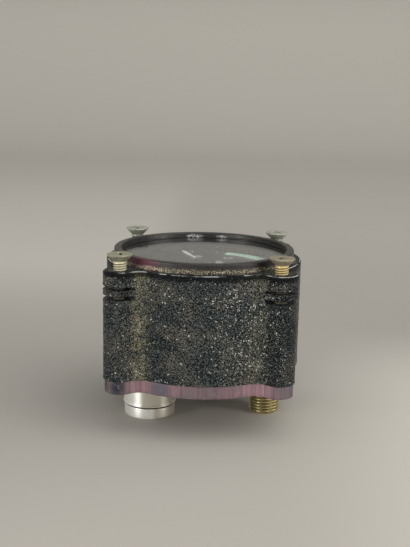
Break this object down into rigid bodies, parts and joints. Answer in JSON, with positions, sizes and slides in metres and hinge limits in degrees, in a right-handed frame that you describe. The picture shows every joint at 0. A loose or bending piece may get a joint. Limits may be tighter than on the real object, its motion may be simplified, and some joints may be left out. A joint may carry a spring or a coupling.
{
  "type": "aircraft pressure gauge",
  "caption": "Round panel pressure gauge with a cast four-lug case, screwed bezel, glass, geared Bourdon tube movement, pressure port and capped electrical receptacle.",
  "frame": {"origin": "on the case's axis, in the plane of the shoulder and lug tops that bears on the panel's rear face", "axes": "+Z out of the dial, +X to the dial's twelve o'clock, which is the right side in the picture"},
  "size_m": [0.0616, 0.0616, 0.0567],
  "materials": {
    "case_paint": "crackle stoving paint, worn at the edges",
    "bezel_anodise": "dark anodised, worn",
    "plate_anodise": "faded black anodise with a purple cast",
    "window_glass": "polished flat glass",
    "seal_rubber": "moulded rubber",
    "black_anodise": "matt black anodised",
    "dial_paint": "matt black with white marks",
    "movement_brass": "fine brushed",
    "small_screw_steel": "turned and polished",
    "cover_screw_steel": "passivated steel",
    "pointer_paint": "white paint on black",
    "arbor_steel": "hardened and polished",
    "spring_bronze": "bright rolled strip",
    "bush_bronze": "turned bronze",
    "socket_brass": "milled brass",
    "tube_bronze": "drawn bronze tube",
    "port_brass": "tarnished turned brass",
    "washer_aluminium": "plain",
    "turned_aluminium": "bright turned",
    "insulator_moulding": "moulded phenolic",
    "contact_gold": "gold plated",
    "lamp_glass": "clear bulb",
    "wire_sleeving": "extruded sleeving",
    "panel_screw_plating": "olive passivated plating"
  },
  "bodies": {
    "gauge_body": {"bezel_ring": "bezel_anodise", "bourdon_tube": "tube_bronze", "case": "case_paint", "dial": "dial_paint", "dial_posts": "movement_brass", "dial_screws": "small_screw_steel", "glass": "window_glass", "glass_gasket": "seal_rubber", "glass_seat_ring": "black_anodise", "hairspring": "spring_bronze", "hairspring_stud": "movement_brass", "lamp_sleeves": "movement_brass", "lamp_wires": "wire_sleeving", "lamps": "lamp_glass", "movement_lower_plate": "movement_brass", "movement_pillars": "movement_brass", "movement_screws": "small_screw_steel", "movement_upper_plate": "movement_brass", "pillar_screws": "small_screw_steel", "pivot_bushes": "bush_bronze", "pointer_stop_pin": "arbor_steel", "port_washer": "washer_aluminium", "pressure_port": "port_brass", "rear_plate": "plate_anodise", "rear_plate_screws": "cover_screw_steel", "rear_plate_seal": "seal_rubber", "receptacle_contacts": "contact_gold", "receptacle_gasket": "seal_rubber", "receptacle_insulator": "insulator_moulding", "receptacle_locknut": "turned_aluminium", "receptacle_shell": "turned_aluminium", "tube_socket": "socket_brass"},
    "toothed_sector": {"sector_gear": "movement_brass", "sector_arbor": "arbor_steel", "link_pin": "arbor_steel"},
    "pointer_assembly": {"pointer": "pointer_paint", "pointer_hub": "movement_brass", "pinion_arbor": "arbor_steel", "hairspring_collet": "movement_brass"},
    "link_arm": {"link": "arbor_steel"},
    "tube_end": {"tube_tip": "socket_brass"},
    "cap": {"dust_cap": "turned_aluminium", "dust_cap_seal": "seal_rubber"},
    "screw_front_left": {"panel_screw_front_left": "panel_screw_plating"},
    "screw_front_right": {"panel_screw_front_right": "panel_screw_plating"},
    "screw_rear_left": {"panel_screw_rear_left": "panel_screw_plating"},
    "screw_rear_right": {"panel_screw_rear_right": "panel_screw_plating"}
  },
  "joints": [
    {"name": "sector_swing", "type": "hinge", "parent": "gauge_body", "child": "toothed_sector", "pos_m": [0.0027, 0.01169, 0], "axis": [0, 0, 1], "range_deg": [0, 32], "stiffness_Nm_per_rad": 0.002},
    {"name": "pointer_turn", "type": "hinge", "parent": "gauge_body", "child": "pointer_assembly", "pos_m": [0, 0, 0], "axis": [0, 0, 1], "range_deg": [-225, 0], "deforming": ["hairspring"]},
    {"name": "link_swing", "type": "hinge", "parent": "toothed_sector", "child": "link_arm", "pos_m": [0.00577, 0.01498, 0], "axis": [0, 0, 1], "range_deg": [-33, 0]},
    {"name": "tube_tip_shift", "type": "slide", "parent": "gauge_body", "child": "tube_end", "axis": [-0.866, 0.5, 0], "range_m": [0, 0.0025], "deforming": ["bourdon_tube"]},
    {"name": "dust_cap_off", "type": "slide", "parent": "gauge_body", "child": "cap", "axis": [0, 0, -1], "range_m": [0, 0.008]},
    {"name": "screw_front_left_travel", "type": "slide", "parent": "gauge_body", "child": "screw_front_left", "axis": [0, 0, 1], "range_m": [-0.00245, 0.00925]},
    {"name": "screw_front_right_travel", "type": "slide", "parent": "gauge_body", "child": "screw_front_right", "axis": [0, 0, 1], "range_m": [-0.00245, 0.00925]},
    {"name": "screw_rear_left_travel", "type": "slide", "parent": "gauge_body", "child": "screw_rear_left", "axis": [0, 0, 1], "range_m": [-0.00245, 0.00925]},
    {"name": "screw_rear_right_travel", "type": "slide", "parent": "gauge_body", "child": "screw_rear_right", "axis": [0, 0, 1], "range_m": [-0.002, 0.0097]}
  ],
  "couplings": [
    {"joint": "pointer_turn", "follows": "sector_swing", "ratio": -7},
    {"joint": "link_swing", "follows": "sector_swing", "ratio": -1},
    {"joint": "tube_tip_shift", "follows": "sector_swing", "m_per_rad": 0.0044459}
  ]
}
